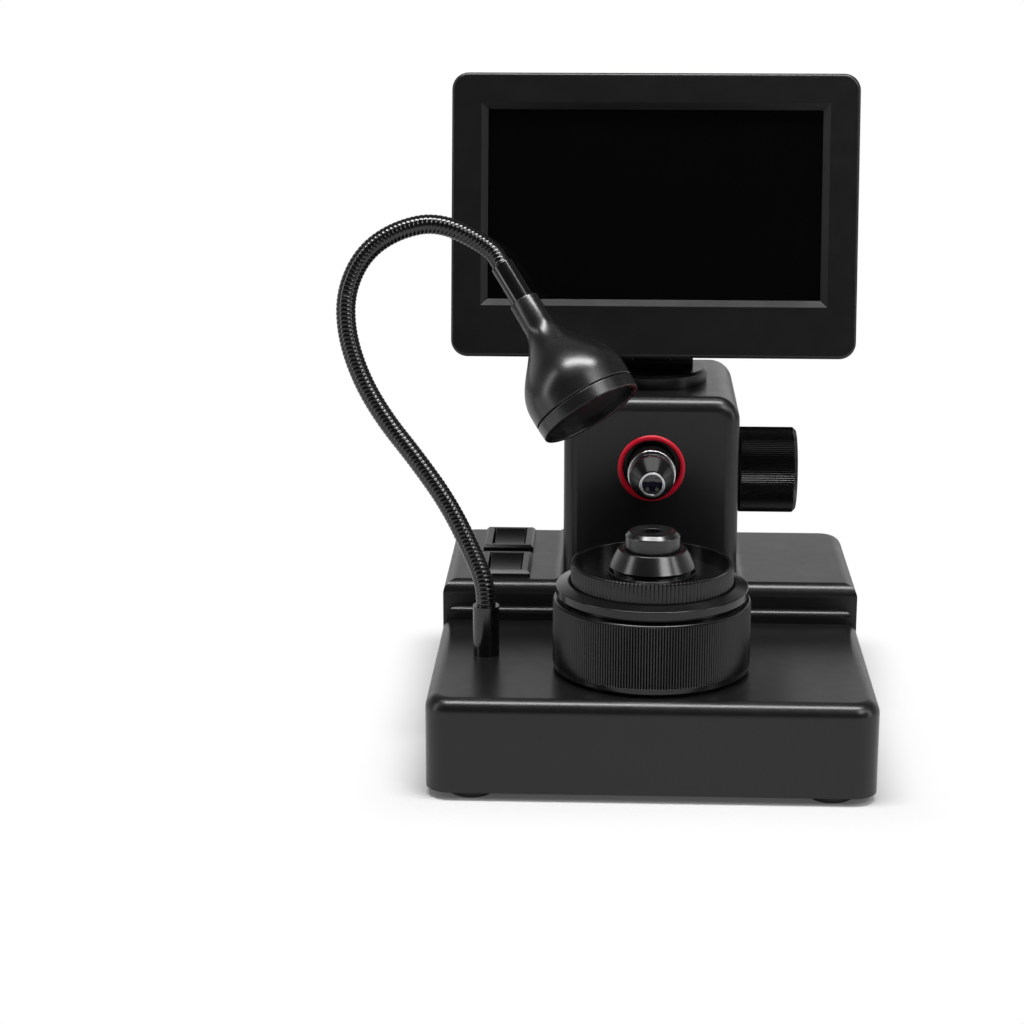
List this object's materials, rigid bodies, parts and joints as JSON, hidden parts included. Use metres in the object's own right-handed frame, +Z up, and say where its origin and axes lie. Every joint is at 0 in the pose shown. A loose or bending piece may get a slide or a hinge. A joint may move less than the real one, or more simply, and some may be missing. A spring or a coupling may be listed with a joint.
{
  "type": "lcd digital microscope",
  "caption": "Desk microscope with a small tilting and swivelling screen, side focus knob, ring-raised stage, horizontal lens, gooseneck lamp and two rocker switches.",
  "frame": {"origin": "centre of the base footprint, on the floor under the feet", "axes": "+X to the right, +Y away from the viewer, +Z up"},
  "size_m": [0.1499, 0.1364, 0.1853],
  "materials": {
    "housing": "satin black",
    "dark_plastic": "satin black",
    "gloss_black": "gloss black",
    "screen_glass": "black gloss",
    "rubber": "matt",
    "steel": "brushed",
    "black_metal": "black satin",
    "aluminium_black": "black anodised",
    "silver": "turned",
    "red": "crimson gloss",
    "board": "circuit board",
    "panel": "display module",
    "battery": "foil pouch",
    "lens": "clear",
    "led": "led",
    "brass": "turned",
    "nylon": "natural nylon"
  },
  "bodies": {
    "base": {"base_housing": "housing", "base_plate": "dark_plastic", "rubber_feet": "rubber", "base_screws": "steel", "control_board": "board", "board_screws": "steel", "battery_cell": "battery", "charging_socket": "steel", "window_ring": "red", "lens_guide": "dark_plastic", "guide_rods": "steel", "knob_bush": "nylon", "stage_pillar": "aluminium_black", "pillar_screws": "steel", "light_switch_frame": "dark_plastic", "power_switch_frame": "dark_plastic", "gooseneck_socket": "black_metal", "gooseneck_nut": "steel"},
    "turntable": {"swivel_disc": "dark_plastic", "swivel_clip": "steel", "tilt_bracket": "dark_plastic", "tilt_pin": "steel", "tilt_washers": "nylon"},
    "screen": {"screen_bezel": "housing", "screen_back": "housing", "screen_screws": "steel", "screen_window": "screen_glass", "lcd_panel": "panel", "driver_board": "board", "tilt_lug": "dark_plastic"},
    "light_rocker": {"light_switch_rocker": "gloss_black"},
    "power_rocker": {"power_switch_rocker": "gloss_black"},
    "focus_drive": {"focus_knob": "dark_plastic", "focus_shaft": "steel", "focus_pinion": "brass"},
    "lens_unit": {"lens_carriage": "dark_plastic", "focus_rack": "brass", "lens_barrel": "aluminium_black", "lens_front_ring": "silver", "lens_glass": "lens", "camera_board": "board", "lens_leds": "led"},
    "height_control": {"height_ring": "aluminium_black"},
    "stage": {"stage_carrier": "aluminium_black"},
    "insert": {"insert_cup": "aluminium_black", "seat_base": "aluminium_black", "seat_post": "aluminium_black"},
    "neck_lower": {"gooseneck_lower": "black_metal"},
    "neck_middle": {"gooseneck_middle": "black_metal"},
    "neck_upper": {"gooseneck_upper": "black_metal"},
    "lamp": {"lamp_collar": "black_metal", "lamp_shade": "dark_plastic", "lamp_rim": "dark_plastic", "lamp_lens": "gloss_black", "lamp_board": "board", "lamp_led": "led"}
  },
  "joints": [
    {"name": "screen_swivel", "type": "hinge", "parent": "base", "child": "turntable", "pos_m": [0, 0.0349, 0.0948], "axis": [0, 0, 1], "range_deg": [-55, 10]},
    {"name": "screen_tilt", "type": "hinge", "parent": "turntable", "child": "screen", "pos_m": [0, 0.0393, 0.1085], "axis": [-1, 0, 0], "range_deg": [-5, 50]},
    {"name": "light_switch_rock", "type": "hinge", "parent": "base", "child": "light_rocker", "pos_m": [-0.043, 0.0516, 0.0397], "axis": [1, 0, 0], "range_deg": [-16, 0]},
    {"name": "power_switch_rock", "type": "hinge", "parent": "base", "child": "power_rocker", "pos_m": [-0.043, 0.0233, 0.0397], "axis": [1, 0, 0], "range_deg": [-16, 0]},
    {"name": "focus_knob_turn", "type": "hinge", "parent": "base", "child": "focus_drive", "pos_m": [0.034, 0.0348, 0.0673], "axis": [1, 0, 0], "range_deg": [-96, 96]},
    {"name": "lens_slide", "type": "slide", "parent": "base", "child": "lens_unit", "axis": [0, -1, 0], "range_m": [-0.005, 0.005]},
    {"name": "height_ring_turn", "type": "hinge", "parent": "base", "child": "height_control", "pos_m": [0, -0.0371, 0.038], "axis": [0, 0, 1], "range_deg": [0, 360]},
    {"name": "stage_lift", "type": "slide", "parent": "base", "child": "stage", "axis": [0, 0, 1], "range_m": [0, 0.008]},
    {"name": "insert_turn", "type": "hinge", "parent": "stage", "child": "insert", "pos_m": [0, -0.0371, 0.054], "axis": [0, 0, 1], "continuous": true},
    {"name": "neck_root_bend", "type": "hinge", "parent": "base", "child": "neck_lower", "pos_m": [-0.0462, -0.0272, 0.0434], "axis": [0, 1, 0], "range_deg": [-12, 3]},
    {"name": "neck_middle_bend", "type": "hinge", "parent": "neck_lower", "child": "neck_middle", "pos_m": [-0.0819, -0.0117, 0.1033], "axis": [0, 1, 0], "range_deg": [-15, 3]},
    {"name": "neck_top_bend", "type": "hinge", "parent": "neck_middle", "child": "neck_upper", "pos_m": [-0.0719, -0.0047, 0.1448], "axis": [0, 1, 0], "range_deg": [-20, 3]},
    {"name": "lamp_tilt", "type": "hinge", "parent": "neck_upper", "child": "lamp", "pos_m": [-0.04326, -0.00423, 0.13559], "axis": [1, 0, 0], "range_deg": [-25, 8]}
  ],
  "couplings": [
    {"joint": "focus_knob_turn", "follows": "lens_slide", "rad_per_m": 333.33},
    {"joint": "stage_lift", "follows": "height_ring_turn", "m_per_rad": 0.001273}
  ]
}
